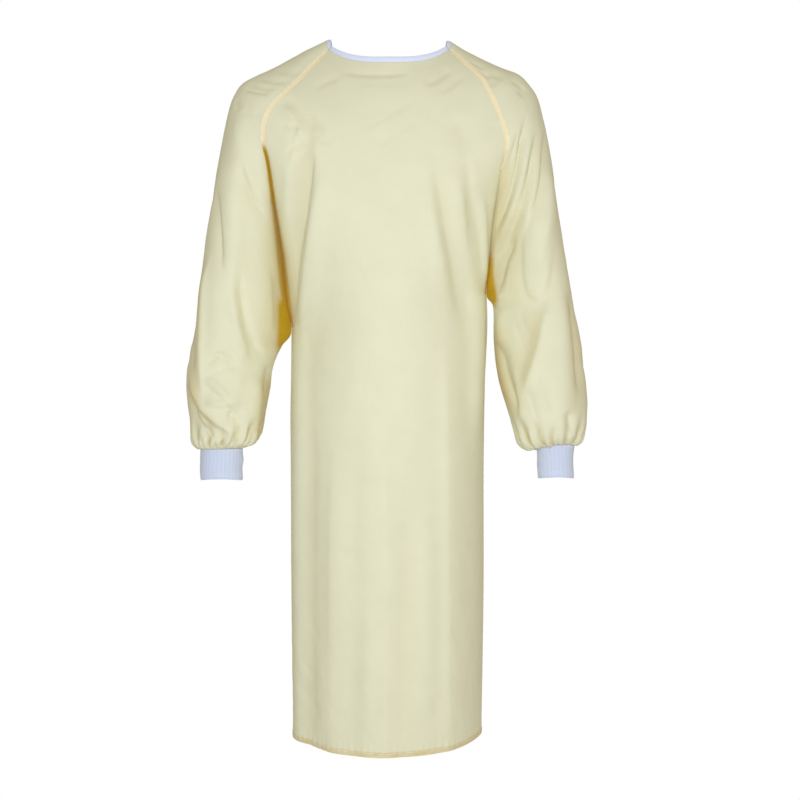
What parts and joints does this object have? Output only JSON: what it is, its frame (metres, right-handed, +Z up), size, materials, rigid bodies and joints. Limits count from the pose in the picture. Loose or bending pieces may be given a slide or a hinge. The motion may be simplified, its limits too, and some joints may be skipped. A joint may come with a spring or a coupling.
{
  "type": "protective gown",
  "caption": "Long protective gown with raglan sleeves gathered into knit cuffs, a bound round neck and a lapped open back, in its worn shape.",
  "frame": {"origin": "midway between the two points where the shoulder line meets the neck", "axes": "+X towards the wearer's left, -Y out of the front, +Z up from the hem to the neck"},
  "size_m": [0.67, 0.2871, 1.173],
  "materials": {
    "front": "matte plain weave",
    "back_right": "matte plain weave",
    "back_left": "matte plain weave",
    "sleeve_right": "matte plain weave",
    "sleeve_left": "matte plain weave",
    "cuff_right": "matte rib knit",
    "cuff_left": "matte rib knit",
    "neck_binding": "matte woven tape",
    "seam_front_right": "matte plain weave",
    "seam_front_left": "matte plain weave",
    "seam_back_right": "matte plain weave",
    "seam_back_left": "matte plain weave"
  },
  "bodies": {
    "root": {"front": "front", "back_right": "back_right", "back_left": "back_left", "sleeve_right": "sleeve_right", "sleeve_left": "sleeve_left", "cuff_right": "cuff_right", "cuff_left": "cuff_left", "neck_binding": "neck_binding", "seam_front_right": "seam_front_right", "seam_front_left": "seam_front_left", "seam_back_right": "seam_back_right", "seam_back_left": "seam_back_left"}
  },
  "joints": []
}
